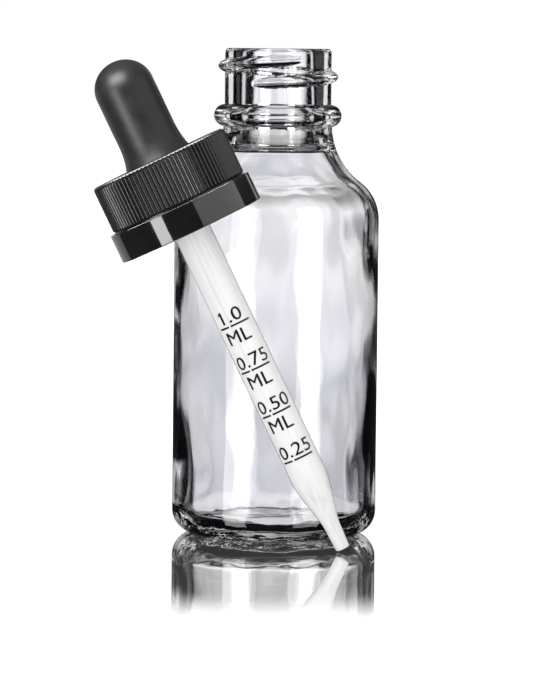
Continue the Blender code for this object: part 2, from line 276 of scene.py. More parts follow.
# --- materials ------------------------------------------------------------------------------
def bottle_glass():
    """Clear moulded glass: a faint cool tint, slow waves, fine marks from the mould and a stippled foot."""
    made, tree, shader = blank("moulded_glass", IOR=1.5, Transmission_Weight=1.0)
    spot = coordinates(tree)
    slow = noise(tree, coordinates(tree, (1.0, 1.0, 0.30)), 0.13, detail=1.0)
    fine = noise(tree, spot, 1.6, detail=3.0)
    tint = ramp(tree, slow, (0.3, (0.972, 0.973, 0.984)), (0.7, (0.988, 0.988, 0.994)))
    join(tree, tint, shader, "Base Color")
    join(tree, ramp(tree, fine, (0.35, 0.006), (0.75, 0.016)), shader, "Roughness")
    waves = bump(tree, slow, 0.6, 0.6)
    marks = bump(tree, fine, 0.12, 0.05, waves)
    up = put(tree, "SeparateXYZ", {"Vector": spot}).outputs["Z"]
    foot = ramp(tree, maths(tree, "MULTIPLY", up, 0.5), (0.1, 1.0), (0.55, 0.0))
    dots = put(tree, "TexVoronoi", {"Vector": spot, "Scale": 0.75}).outputs["Distance"]
    stipple = maths(tree, "MULTIPLY", foot, ramp(tree, dots, (0.1, 1.0), (0.6, 0.0)))
    flow = noise(tree, coordinates(tree, (1.0, 1.0, 2.0)), 0.22, detail=1.0)
    thick = ramp(tree, maths(tree, "MULTIPLY", up, 0.1), (0.3, 1.0), (0.75, 0.0))
    ripple = bump(tree, maths(tree, "MULTIPLY", flow, thick), 0.5, 0.35, marks)
    join(tree, bump(tree, stipple, 0.5, 0.12, ripple), shader, "Normal")
    return made


def pipette_glass():
    """Milky drawn glass, with faint lines along the tube and painted shade that darkens its edges."""
    made, tree, shader = blank("drawn_glass", IOR=1.48, Transmission_Weight=0.35)
    drawn = noise(tree, coordinates(tree, (1.0, 1.0, 0.012), LEAN), 1.1, detail=3.0)
    along = noise(tree, coordinates(tree, (1.0, 1.0, 0.25), LEAN), 0.3, detail=2.0)
    mixed = maths(tree, "ADD", maths(tree, "MULTIPLY", drawn, 0.75), maths(tree, "MULTIPLY", along, 0.25))
    tone = ramp(tree, mixed, (0.36, (0.74, 0.74, 0.745)), (0.48, 0.86), (0.66, 0.90))
    # painted shade: the base colour is darkened where the tube turns away from view, standing in for the dark
    # edges of glass
    facing = put(tree, "LayerWeight", {"Blend": 0.5}).outputs["Facing"]
    edge = ramp(tree, facing, (0.62, 1.0), (0.86, 0.45))
    tone_with_painted_shade = put(tree, "Mix", {0: 1.0, 6: tone, 7: edge}, data_type="RGBA", blend_type="MULTIPLY").outputs[2]
    join(tree, tone_with_painted_shade, shader, "Base Color")
    join(tree, ramp(tree, along, (0.3, 0.05), (0.7, 0.09)), shader, "Roughness")
    join(tree, bump(tree, drawn, 0.15, 0.03), shader, "Normal")
    return made


def ink():
    """Fired-on black print, a little thin in places and paler towards one side of the tube."""
    made, tree, shader = blank("print_ink", Specular_IOR_Level=0.3)
    grain = noise(tree, coordinates(tree), 2.2, detail=5.0)
    spot = put(tree, "TexCoord").outputs["Object"]
    from_tip = vector_maths(tree, "SUBTRACT", spot, tuple(TIP)).outputs["Vector"]
    across = vector_maths(tree, "DOT_PRODUCT", from_tip, tuple(DROPPER_U)).outputs["Value"]
    side = maths(tree, "DIVIDE", across, 6.0 * MM)
    patchy = maths(tree, "MULTIPLY", maths(tree, "SUBTRACT", grain, 0.5), 0.7)
    # the print is patchy, and paler towards the +U side of the tube
    patchy_and_side_paleness = maths(tree, "ADD", side, patchy, clamp=True)
    join(tree, ramp(tree, patchy_and_side_paleness, (0.15, 0.003), (0.7, 0.06)), shader, "Base Color")
    join(tree, ramp(tree, grain, (0.3, 0.45), (0.7, 0.65)), shader, "Roughness")
    join(tree, bump(tree, grain, 0.3, 0.01), shader, "Normal")
    return made


def rubber():
    """Matt black rubber with a fine grain, a trace of bloom and slow changes of shine."""
    made, tree, shader = blank("bulb_rubber", Specular_IOR_Level=0.5, Sheen_Weight=0.03, Sheen_Roughness=0.4)
    spot = coordinates(tree)
    grain = noise(tree, spot, 9.0, detail=4.0, roughness=0.65)
    patches = noise(tree, spot, 0.25, detail=4.0)
    tone = maths(tree, "ADD", maths(tree, "MULTIPLY", grain, 0.35), maths(tree, "MULTIPLY", patches, 0.65))
    black = ramp(tree, tone, (0.35, (0.006, 0.006, 0.0065)), (0.7, (0.012, 0.012, 0.0126)))
    join(tree, black, shader, "Base Color")
    join(tree, ramp(tree, tone, (0.3, 0.36), (0.7, 0.46)), shader, "Roughness")
    join(tree, bump(tree, grain, 0.35, 0.03, bump(tree, patches, 0.1, 0.15)), shader, "Normal")
    return made


def plastic(name, dark, light, shine, grain_scale, grain_depth, coat=0.0):
    """Moulded black plastic. dark and light bound its tone, and shine its roughness."""
    made, tree, shader = blank(name, Coat_Weight=coat, Coat_Roughness=0.03)
    spot = coordinates(tree)
    grain = noise(tree, spot, grain_scale, detail=5.0, roughness=0.6)
    patches = noise(tree, spot, 0.18, detail=3.0)
    join(tree, ramp(tree, patches, (0.3, dark), (0.7, light)), shader, "Base Color")
    join(tree, ramp(tree, grain, (0.3, shine[0]), (0.7, shine[1])), shader, "Roughness")
    join(tree, bump(tree, grain, 0.4, grain_depth), shader, "Normal")
    return made


def spring_steel():
    """Bright steel with brush lines round the spring."""
    made, tree, shader = blank("spring_steel", Metallic=1.0)
    brushed = noise(tree, coordinates(tree, (0.3, 0.3, 6.0), LEAN), 2.0, detail=6.0)
    steel = ramp(tree, brushed, (0.3, (0.42, 0.42, 0.43)), (0.7, (0.66, 0.66, 0.67)))
    join(tree, steel, shader, "Base Color")
    join(tree, ramp(tree, brushed, (0.3, 0.18), (0.7, 0.34)), shader, "Roughness")
    join(tree, bump(tree, brushed, 0.3, 0.01), shader, "Normal")
    return made


def seal_foam():
    """A white foamed liner with fine closed cells."""
    made, tree, shader = blank("seal_foam", Subsurface_Weight=0.1, Subsurface_Scale=0.0005)
    cells = put(tree, "TexVoronoi", {"Vector": coordinates(tree), "Scale": 4.0}).outputs["Distance"]
    shade = noise(tree, coordinates(tree), 0.5, detail=4.0)
    join(tree, ramp(tree, shade, (0.3, (0.78, 0.78, 0.75)), (0.7, (0.9, 0.9, 0.88))), shader, "Base Color")
    join(tree, ramp(tree, cells, (0.0, 0.75), (0.6, 0.55)), shader, "Roughness")
    join(tree, bump(tree, cells, 0.5, 0.06), shader, "Normal")
    return made


# --- meshes ---------------------------------------------------------------------------------
def arc(centre, radius, start_deg, end_deg, count):
    angles = [radians(start_deg + (end_deg - start_deg) * i / (count - 1)) for i in range(count)]
    return [(centre[0] + radius * cos(a), centre[1] + radius * sin(a)) for a in angles]


def runs(*corners, step=0.5):
    """Straight runs between corners, with points no further apart than step."""
    points = [corners[0]]
    for (r0, z0), (r1, z1) in zip(corners, corners[1:]):
        count = max(1, int(sqrt((r1 - r0) ** 2 + (z1 - z0) ** 2) / step + 0.999))
        points += [(r0 + (r1 - r0) * i / count, z0 + (z1 - z0) * i / count) for i in range(1, count + 1)]
    return points


def rounded(corners, radius, count=4):
    """The outline through corners, in order, with each inner corner rounded off."""
    points = [corners[0]]
    for before, here, after in zip(corners, corners[1:], corners[2:]):
        here = Vector(here)
        back = Vector(before) - here
        on = Vector(after) - here
        cut = min(radius, 0.45 * back.length, 0.45 * on.length)
        first = here + back.normalized() * cut
        last = here + on.normalized() * cut
        for i in range(count + 1):
            t = i / count
            points.append(tuple(first * (1 - t) ** 2 + here * 2 * t * (1 - t) + last * t ** 2))
    return points + [corners[-1]]


def smooth(value, low, high):
    t = max(0.0, min(1.0, (value - low) / (high - low)))
    return t * t * (3 - 2 * t)


def revolve(name, outline, steps, closed, shift=None):
    """Turns (radius, height) points about Z. shift(r, z, a) gives a change of radius and height at angle a.
    Angles start at the front, -Y, and go towards -X."""
    bm = bmesh.new()
    rings = []
    for r, z in outline:
        if r < 1e-6:
            rings.append([bm.verts.new((0.0, 0.0, z * MM))])
            continue
        ring = []
        for i in range(steps):
            a = 2 * pi * i / steps
            dr, dz = shift(r, z, a) if shift else (0.0, 0.0)
            ring.append(bm.verts.new((-(r + dr) * sin(a) * MM, -(r + dr) * cos(a) * MM, (z + dz) * MM)))
        rings.append(ring)
    pairs = list(zip(rings, rings[1:]))
    if closed:
        pairs.append((rings[-1], rings[0]))
    for first, second in pairs:
        for i in range(steps):
            j = (i + 1) % steps
            if len(first) == 1:
                bm.faces.new((first[0], second[i], second[j]))
            elif len(second) == 1:
                bm.faces.new((first[j], first[i], second[0]))
            else:
                bm.faces.new((first[i], second[i], second[j], first[j]))
    return solid(name, bm)


def solid(name, bm, sharp_deg=40.0):
    """Ends a mesh: faces turned out, shaded smooth with sharp edges where it turns hard."""
    bmesh.ops.recalc_face_normals(bm, faces=bm.faces)
    mesh = bpy.data.meshes.new(name)
    bm.to_mesh(mesh)
    bm.free()
    mesh.shade_smooth()
    mesh.set_sharp_from_angle(angle=radians(sharp_deg))
    made = bpy.data.objects.new(name, mesh)
    bpy.context.scene.collection.objects.link(made)
    return made


def united(piece, tool):
    """piece with tool joined to it by an exact Boolean, as one plain mesh."""
    cut = piece.modifiers.new("union", "BOOLEAN")
    cut.operation = "UNION"
    cut.solver = "EXACT"
    cut.object = tool
    bpy.context.view_layer.update()
    graph = bpy.context.evaluated_depsgraph_get()
    mesh = bpy.data.meshes.new_from_object(piece.evaluated_get(graph))
    piece.modifiers.clear()
    piece.data = mesh
    bpy.data.objects.remove(tool, do_unlink=True)
    return piece


def block_ring(name, count, radii, heights, width, first_deg):
    """Equal blocks round the axis, with their edges taken off."""
    bm = bmesh.new()
    size = Matrix.Diagonal(((radii[1] - radii[0]) * MM, width * MM, (heights[1] - heights[0]) * MM, 1.0))
    middle = Matrix.Translation(Vector(((radii[0] + radii[1]) / 2, 0.0, (heights[0] + heights[1]) / 2)) * MM)
    for i in range(count):
        turn = Matrix.Rotation(radians(first_deg + i * 360.0 / count), 4, "Z")
        bmesh.ops.create_cube(bm, size=1.0, matrix=turn @ middle @ size)
    bmesh.ops.bevel(bm, geom=list(bm.edges), offset=0.08 * MM, segments=2, affect="EDGES", profile=0.5)
    return solid(name, bm)


def finish(piece, skin, place, body, slot, *nodes):
    """Gives a piece its material, its place, the body that it rides on and the nodes that it stands for."""
    piece.data.materials.clear()
    piece.data.materials.append(skin)
    piece.data.transform(place)
    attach(piece, body)
    if nodes:
        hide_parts(*nodes)
    return piece


def ridge(z, a, front_z, pitch, start, end, fade, height, half_width):
    """How far a screw ridge stands out at height z and angle a. The ridge may pass the same angle twice."""
    out = 0.0
    turn = degrees(a)
    for lap in (-360.0, 0.0, 360.0):
        along = turn + lap
        inside = min(along - start, end - along)
        if inside <= 0.0:
            continue
        share = sin(pi / 2 * min(1.0, inside / fade))
        off = abs(z - (front_z - pitch * along / 360.0)) / (half_width * (0.45 + 0.55 * share))
        if off < 1.0:
            out = max(out, height * share * (1 - off * off) ** 0.8)
    return out


# --- bottle ---------------------------------------------------------------------------------
def swept_shoulder(wall_r, wall_z, out_r, in_r, neck_r, counts):
    """Points up from a straight wall to a neck: a rounding, then a hollow sweep that meets it."""
    round_at = (wall_r - out_r, wall_z)
    across = neck_r + in_r - round_at[0]
    rise = sqrt((out_r + in_r) ** 2 - across ** 2)
    sweep_at = (neck_r + in_r, wall_z + rise)
    meet = degrees(atan2(rise, across))
    lower = arc(round_at, out_r, 0, meet, counts[0])
    upper = arc(sweep_at, in_r, 180 + meet, 180, counts[1])
    return lower + upper[1:]


def inner_wave(r, z, a):
    """The inside of a blown bottle is never true: slow swells round it and along it."""
    body = smooth(z, 5.0, 14.0) * (1 - smooth(z, 55.0, 66.0))
    swell = 0.17 * sin(2 * a + 0.11 * z + 0.6) + 0.11 * sin(3 * a - 0.19 * z + 2.1)
    swell += 0.04 * sin(7 * a + 0.4 * z)
    return body * swell, 0.0


def inner_outline():
    foot_r = BODY_R - FOOT_WALL
    body_r = BODY_R - BODY_WALL
    flat_r = foot_r - FLOOR_EDGE_R
    floor = [(flat_r * i / 20, FLOOR_T + FLOOR_DOME * (1 - (i / 20) ** 2)) for i in range(20)]
    floor += arc((flat_r, FLOOR_T + FLOOR_EDGE_R), FLOOR_EDGE_R, -90, 0, 16)
    heights = BODY_WALL_HEIGHTS
    shoulder_r = BODY_R - SHOULDER_WALL
    turns = [floor[-1], (foot_r, FOOT_WALL_TOP), (body_r, heights[0]), (body_r, heights[1])]
    turns += [(shoulder_r, SHOULDER_WALL_FROM), (shoulder_r, SHOULDER_Z)]
    wall = runs(*rounded(turns, 6.0, 8), step=1.2)[1:-1]
    radii = (SHOULDER_OUT_R - SHOULDER_WALL, SHOULDER_IN_R + SHOULDER_WALL, NECK_FOOT_R - SHOULDER_WALL)
    sweep = swept_shoulder(shoulder_r, SHOULDER_Z, *radii, (24, 60))
    inside = [point for point in sweep if point[0] > THROAT[0][0] + 0.3]
    throat = rounded([inside[-1], *THROAT, (BORE_R, THROAT[-1][1] + 2.0)], THROAT_ROUND, 8)[1:]
    neck = runs(throat[-1], (BORE_R, BOTTLE_H - BORE_ROUND), step=1.0)[1:-1]
    inside += throat
    return floor + wall + inside + neck


def outer_outline():
    lip = arc((BORE_R + BORE_ROUND, BOTTLE_H - BORE_ROUND), BORE_ROUND, 180, 90, 7)
    lip += arc((NECK_R - LIP_ROUND, BOTTLE_H - LIP_ROUND), LIP_ROUND, 90, 0, 9)
    bead_at_r = NECK_R - 0.05
    above = degrees(acos((NECK_R - bead_at_r) / BEAD_SECTION_R))
    below = degrees(acos((NECK_FOOT_R - bead_at_r) / BEAD_SECTION_R))
    bead = arc((bead_at_r, BEAD_Z), BEAD_SECTION_R, above, -below, 33)
    neck = runs(lip[-1], bead[0], step=0.13)[1:-1]
    sweep = swept_shoulder(BODY_R, SHOULDER_Z, SHOULDER_OUT_R, SHOULDER_IN_R, NECK_FOOT_R, (26, 28))
    shoulder = [point for point in reversed(sweep) if point[1] < BEAD_Z - BEAD_SECTION_R - 0.1]
    heel = arc((BODY_R - HEEL_R, HEEL_R), HEEL_R, 0, -90, 18)
    wall = runs(shoulder[-1], heel[0], step=2.0)[1:-1]
    base = [(RING_INNER_R, 0.0), (RING_INNER_R - 1.0, 0.6)]
    base += [(9.0 * (1 - i / 8), PUSH_UP - 0.3 * (1 - i / 8) ** 2) for i in range(9)]
    return lip, neck + bead + shoulder + wall + heel, rounded(base, 0.5)


def neck_shift(r, z, a):
    """The screw ridge on the neck."""
    if z < BEAD_Z + BEAD_SECTION_R - 1.0:
        return 0.0, 0.0
    span = (THREAD_START_DEG, THREAD_END_DEG, THREAD_FADE_DEG)
    return ridge(z, a, THREAD_FRONT_Z, THREAD_PITCH, *span, THREAD_H, THREAD_HALF_W), 0.0


def make_bottle(skin):
    inside = inner_outline()
    lip, outside, base = outer_outline()
    inner = set(inside)

    def shift(r, z, a):
        if (r, z) in inner:
            return inner_wave(r, z, a)
        if r > NECK_R - 0.05 and z > BEAD_Z:
            return neck_shift(r, z, a)
        return 0.0, 0.0

    outline = inside + lip + outside + base[1:]
    piece = revolve("clear_bottle", outline, BOTTLE_STEPS, closed=False, shift=shift)
    return finish(piece, skin, BOTTLE_PLACE, "bottle", "clear_glass", "bottle")


# --- dropper --------------------------------------------------------------------------------
def pipette_radius(z):
    if z <= TIP_NECK_Z:
        return TIP_R + (TIP_NECK_R - TIP_R) * z / TIP_NECK_Z
    return TIP_NECK_R + (PIPETTE_R - TIP_NECK_R) * smooth(z, TIP_NECK_Z, TAPER_TOP_Z)


def make_pipette(skin):
    mouth = PIPETTE_WALL / 2
    taper = [mouth + (TAPER_TOP_Z - mouth) * i / 44 for i in range(44, -1, -1)]
    heights = [PIPETTE_TOP - mouth - i * 2.0 for i in range(31)] + taper
    outside = [(pipette_radius(z), z) for z in heights]
    half_turn = [pi * i / 10 for i in range(1, 10)]
    tip = [(TIP_R - mouth + mouth * cos(a), mouth - mouth * sin(a)) for a in half_turn]
    inside = [(pipette_radius(z) - PIPETTE_WALL, z) for z in reversed(heights)]
    top_r = PIPETTE_R - mouth
    top = [(top_r - mouth * cos(a), heights[0] + mouth * sin(a)) for a in half_turn]
    piece = revolve("glass_tube", outside + tip + inside + top, 128, closed=True)
    return finish(piece, skin, DROPPER_PLACE, "dropper", "clear_glass", "glass_pipette")


def printed_text(body, x0, x1, z0, height):
    """A flat mesh of the words, stretched to a width along the tube's surface and to a height."""
    words = bpy.data.curves.new(body, "FONT")
    words.body = body
    words.resolution_u = 4
    words.extrude = 0.01
    drawn = bpy.data.objects.new(body, words)
    bpy.context.scene.collection.objects.link(drawn)
    bpy.context.view_layer.update()
    graph = bpy.context.evaluated_depsgraph_get()
    bm = bmesh.new()
    bm.from_mesh(drawn.evaluated_get(graph).to_mesh())
    bpy.data.objects.remove(drawn, do_unlink=True)
    xs = [v.co.x for v in bm.verts]
    ys = [v.co.y for v in bm.verts]
    low, high, foot, head = min(xs), max(xs), min(ys), max(ys)
    for v in bm.verts:
        across = x0 + (x1 - x0) * (v.co.x - low) / (high - low)
        up = z0 + height * (v.co.y - foot) / (head - foot)
        v.co = (across, INK_T * (1.0 if v.co.z > 0 else 0.0), up)
    return bm


def on_tube(x):
    """How far round the tube's surface, from its front line, a point lies that is seen at x."""
    return PIPETTE_R * atan2(x / PIPETTE_R, sqrt(1 - (x / PIPETTE_R) ** 2))


def stroke(x0, z0, x1, z1, width):
    """A straight pen stroke between two points."""
    bm = bmesh.new()
    run = Vector((x1 - x0, 0.0, z1 - z0))
    size = Matrix.Diagonal((run.length, INK_T, width, 1.0))
    turn = Matrix.Rotation(atan2(-run.z, run.x), 4, "Y")
    there = Matrix.Translation(((x0 + x1) / 2, INK_T / 2, (z0 + z1) / 2))
    bmesh.ops.create_cube(bm, size=1.0, matrix=there @ turn @ size)
    return bm


def wrap(bm):
    """Bends a flat print, x along the surface and y its height over it, round the tube."""
    bmesh.ops.remove_doubles(bm, verts=bm.verts, dist=1e-5)
    bmesh.ops.triangulate(bm, faces=bm.faces)
    for _ in range(4):
        long = [edge for edge in bm.edges if abs(edge.verts[0].co.x - edge.verts[1].co.x) > 0.3]
        if not long:
            break
        bmesh.ops.subdivide_edges(bm, edges=long, cuts=1)
        bmesh.ops.triangulate(bm, faces=bm.faces)
    for v in bm.verts:
        turn = v.co.x / PIPETTE_R
        radius = (PIPETTE_R + 0.004 + v.co.y) * MM
        v.co = (radius * sin(turn), -radius * cos(turn), v.co.z * MM)


def make_marks(skin):
    """The printed volume marks, as thin raised ink."""
    flats = []
    for line_z, words, x0, x1 in MARKS:
        for left, right in ((MARK_LINE[0], MARK_BREAK[0]), (MARK_BREAK[1], MARK_LINE[1])):
            flats.append(stroke(on_tube(left), line_z, on_tube(right), line_z, MARK_LINE_W))
        for dx, dz in INK_SPREAD:
            low, high = on_tube(x0) + dx, on_tube(x1) + dx
            flats.append(printed_text(words, low, high, line_z + MARK_TEXT_RISE + dz, MARK_TEXT_H))
            if line_z != MARKS[-1][0]:
                low, high = (on_tube(x) + dx for x in UNIT_SPAN)
                flats.append(printed_text(UNIT, low, high, line_z - UNIT_DROP + dz, MARK_TEXT_H))
    top = MARKS[0][0] + MARK_TEXT_RISE + MARK_TEXT_H  # of the 1, which gets a flag
    stem = on_tube(MARKS[0][2]) + 0.12
    flats.append(stroke(stem - 0.5, top - 0.62, stem + 0.05, top - 0.12, 0.26))
    whole = bmesh.new()
    for flat in flats:
        wrap(flat)
        part = bpy.data.meshes.new("print_part")
        flat.to_mesh(part)
        flat.free()
        whole.from_mesh(part)
        bpy.data.meshes.remove(part)
    return finish(solid("volume_marks", whole), skin, DROPPER_PLACE, "dropper", "gloss_black_plastic")


def bulb_outline():
    dome_z = DROPPER_L - BULB_DOME_H
    dome = [(BULB_R * sin(pi / 2 * i / 28), dome_z + BULB_DOME_H * cos(pi / 2 * i / 28)) for i in range(29)]
    wall = runs(dome[-1], (BULB_R, CAP_TOP + BULB_FLARE_H), step=0.5)[1:-1]
    flare = []
    for i in range(25):
        up = BULB_FLARE_H * (1 - i / 24)
        spread = ((BULB_FLARE_H - up) / BULB_FLARE_H) ** BULB_FLARE_POWER
        flare.append((BULB_R + (BULB_FOOT_R - BULB_R) * spread, CAP_TOP + up))
    shank = rounded([flare[-1], (BULB_SHANK_R, CAP_TOP - 0.6), (BULB_SHANK_R, BULB_FLANGE[1])], 0.2)[1:]
    flange = rounded([shank[-1], (BULB_FLANGE_R, BULB_FLANGE[1]), (BULB_FLANGE_R, BULB_FLANGE[0])], 0.2)[1:]
    grip_r = PIPETTE_R + GAP
    room_r = BULB_R - BULB_WALL
    grip = [(grip_r, BULB_FLANGE[0]), (grip_r, PIPETTE_TOP + 0.4), (room_r, PIPETTE_TOP + 1.2)]
    room_wall = runs(grip[-1], (room_r, dome_z), step=1.0)[1:-1]
    room_h = BULB_DOME_H - BULB_WALL
    room = [(room_r * cos(pi / 2 * i / 12), dome_z + room_h * sin(pi / 2 * i / 12)) for i in range(13)]
    room[-1] = (0.0, room[-1][1])
    return dome + wall + flare + shank + flange + grip + room_wall + room


def make_bulb(skin):
    piece = revolve("bulb_skin", bulb_outline(), 128, closed=False)
    piece.data.materials.append(skin)
    piece.data.transform(DROPPER_PLACE)
    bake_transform(piece)
    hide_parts("rubber_bulb")
    return piece


def make_inner_cap(skin):
    """The threaded cap, with its catch teeth on top."""
    hole_r = BULB_SHANK_R + GAP
    plate_under = INNER_TOP - INNER_PLATE_T
    inner_wall = runs((INNER_BORE_R, INNER_FOOT), (INNER_BORE_R, plate_under), step=0.15)
    corners = [(hole_r, INNER_TOP), (INNER_R, INNER_TOP), (INNER_R, INNER_FOOT), inner_wall[0]]
    outer = rounded(corners, 0.25)[:-1]

    def shift(r, z, a):
        if abs(r - INNER_BORE_R) > 1e-4 or z > plate_under - 0.3:
            return 0.0, 0.0
        end = 360.0 * CAP_THREAD_TURNS
        return -ridge(z, a, CAP_THREAD_TOP, THREAD_PITCH, 0.0, end, 30.0, CAP_RIDGE_H, 0.6), 0.0

    outline = outer + inner_wall + [(hole_r, plate_under)]
    piece = revolve("inner_cap_shell", outline, 192, closed=True, shift=shift)
    teeth_z = (INNER_TOP - 0.2, INNER_TOP + TOOTH_H)
    united(piece, block_ring("teeth", TOOTH_COUNT, TOOTH_RADII, teeth_z, TOOTH_W, 0.0))
    return finish(piece, skin, DROPPER_PLACE, "dropper", "plain_black_plastic", "inner_cap")


def make_shell(skin):
    """The turning outer shell: fine rounded ribs with rounded ends, and lugs under its top."""
    hole_r = BULB_FOOT_R + GAP
    plate_under = CAP_TOP - SHELL_PLATE_T
    corners = [(hole_r, plate_under), (hole_r, CAP_TOP), (SHELL_R, CAP_TOP), (SHELL_R, RIB_HEAD - 0.6)]
    head = rounded(corners, 0.3)
    ribbed = runs(head[-1], (SHELL_R, RIB_HEAD - 0.9), step=0.1)[1:]
    ribbed += runs(ribbed[-1], (SHELL_R, RIB_FOOT + 0.9), step=1.0)[1:]
    ribbed += runs(ribbed[-1], (SHELL_R, RIB_FOOT - 0.3), step=0.1)[1:]
    foot = [
        (SHELL_R, SHELL_FLANGE[1]),
        (SHELL_FLANGE_R, SHELL_FLANGE[1]),
        (SHELL_FLANGE_R, SHELL_FLANGE[0]),
        (SHELL_INNER_R, SHELL_FLANGE[0]),
        (SHELL_INNER_R, plate_under),
    ]

    def shift(r, z, a):
        if r < SHELL_R - 0.35 or z < RIB_FOOT - 0.2 or z > CAP_TOP - 0.02:
            return 0.0, 0.0
        rise = min(1.0, max(0.0, (z - RIB_FOOT) / RIB_END))
        fall = min(1.0, max(0.0, (RIB_HEAD - z) / RIB_END))
        across = abs(cos(RIB_COUNT * a / 2))
        return (RIB_R - SHELL_R) * min(rise, fall) * across, 0.0

    piece = revolve("ribbed_shell", head[1:] + ribbed + foot, RIB_COUNT * 10, closed=True, shift=shift)
    lugs_z = (INNER_TOP + PRESS_TRAVEL + LUG_CLEAR, plate_under + 0.2)
    united(piece, block_ring("lugs", TOOTH_COUNT, TOOTH_RADII, lugs_z, TOOTH_W, 180.0 / TOOTH_COUNT))
    return finish(piece, skin, DROPPER_PLACE, "shell", "satin_black_plastic", "outer_shell")


def make_ring(skin):
    """The wide gloss band, which holds the shell's flange in a groove."""
    fit_r = INNER_R + GAP
    cavity_r = SHELL_FLANGE_R + RUN
    outside = [(RIB_R + RUN, BAND_TOP), (BAND_R, BAND_TOP), (BAND_R, CAP_FOOT), (fit_r, CAP_FOOT)]
    inside = [
        (fit_r, BAND_FOOT_TOP),
        (cavity_r, BAND_FOOT_TOP),
        (cavity_r, BAND_LIP[0]),
        (SHELL_R + RUN, BAND_LIP[0]),
        (SHELL_R + RUN, BAND_LIP[1]),
        (RIB_R + RUN, BAND_LIP[1]),
    ]
    outline = rounded(outside, 0.22, 5)[1:] + inside + [outside[0]]
    piece = revolve("gloss_ring", outline, 256, closed=True)
    return finish(piece, skin, DROPPER_PLACE, "dropper", "gloss_black_plastic", "retaining_ring")


def make_washer(skin):
    inner = PIPETTE_R + GAP
    middle_r = (inner + WASHER_R) / 2
    corners = [
        (middle_r, WASHER[1]),
        (WASHER_R, WASHER[1]),
        (WASHER_R, WASHER[0]),
        (inner, WASHER[0]),
        (inner, WASHER[1]),
        (middle_r - 0.01, WASHER[1]),
    ]
    piece = revolve("liner_washer", rounded(corners, 0.15), 128, closed=True)
    return finish(piece, skin, DROPPER_PLACE, "dropper", "seal_foam", "seal_washer")


def make_spring(skin):
    """A flat ring bent into waves."""
    low_r, high_r = SPRING_RADII
    middle_z = (INNER_TOP + CAP_TOP - SHELL_PLATE_T) / 2
    half = SPRING_T / 2
    top, under = middle_z + half, middle_z - half
    corners = [(low_r, top), (high_r, top), (high_r, under), (low_r, under), (low_r, top)]
    outline = rounded(corners, 0.06, 3)
    swing = (SPRING_HEIGHT - SPRING_T) / 2

    def wave(r, z, a):
        return 0.0, swing * cos(SPRING_WAVES * (a + pi / 2))

    piece = revolve("wave_spring", outline[:-1], 180, closed=True, shift=wave)
    finish(piece, skin, DROPPER_PLACE, "dropper", "spring_steel", "spring_ring")
    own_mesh(piece)
    return piece


# --- studio ---------------------------------------------------------------------------------
CAMERA_BACK = 0.700
CAMERA_LEFT = 0.00153
CAMERA_UP = 0.094
CAMERA_PITCH_DEG = 4.67
CAMERA_ROLL_DEG = 0.61
CAMERA_LENS = 190.0
WHITE = (1.0, 1.0, 1.0, 1.0)
WINDOW_LIGHT = 5.0
FLOOR_R = 3.0
FLOOR_DROP = 0.00005
FLOOR_GLOW = 0.35
MIRROR_FROM = 0.078  # how far from the bottle's axis the polish begins to fade
MIRROR_TO = 0.120


def add_camera():
    data = bpy.data.cameras.new("camera")
    data.lens = CAMERA_LENS
    data.sensor_width = 36.0
    data.clip_start = 0.01
    data.clip_end = 20.0
    made = bpy.data.objects.new("camera", data)
    place = Matrix.Translation((BOTTLE_AXIS.x - CAMERA_LEFT, BOTTLE_AXIS.y - CAMERA_BACK, CAMERA_UP))
    tilt = Matrix.Rotation(radians(90 - CAMERA_PITCH_DEG), 4, "X")
    made.matrix_world = place @ tilt @ Matrix.Rotation(radians(CAMERA_ROLL_DEG), 4, "Z")
    bpy.context.scene.collection.objects.link(made)
    bpy.context.scene.camera = made


def receivers(name, pieces):
    """A collection of the pieces that a light shines on."""
    group = bpy.data.collections.new(name)
    for piece in pieces:
        group.objects.link(piece)
    return group


def panel(name, place, azimuths, heights, distance, radiance, group):
    """An upright light panel beside an axis. Azimuths are in degrees from the front, -Y, towards +X."""
    half = radians((azimuths[1] - azimuths[0]) / 2)
    size = (2 * distance * tan(half), (heights[1] - heights[0]) * MM)
    return lamp(name, place, sum(azimuths) / 2, 0.0, sum(heights) / 2, size, distance, radiance, group)


def lamp(name, place, azimuth, lift_deg, height, size, distance, radiance, group):
    """A flat light that faces a point on an axis, from an azimuth and a lift above the horizontal."""
    turn = radians(azimuth)
    lift = radians(lift_deg)
    out = Vector((sin(turn) * cos(lift), -cos(turn) * cos(lift), sin(lift)))
    data = bpy.data.lights.new(name, "AREA")
    data.shape = "RECTANGLE"
    data.size, data.size_y = size
    data.energy = radiance * pi * size[0] * size[1]
    made = bpy.data.objects.new(name, data)
    bpy.context.scene.collection.objects.link(made)
    there = Matrix.Translation(Vector((0.0, 0.0, height * MM)) + out * distance)
    made.matrix_world = place @ there @ out.to_track_quat("Z", "Y").to_matrix().to_4x4()
    made.visible_camera = False
    made.visible_transmission = False
    made.light_linking.receiver_collection = group
    return made


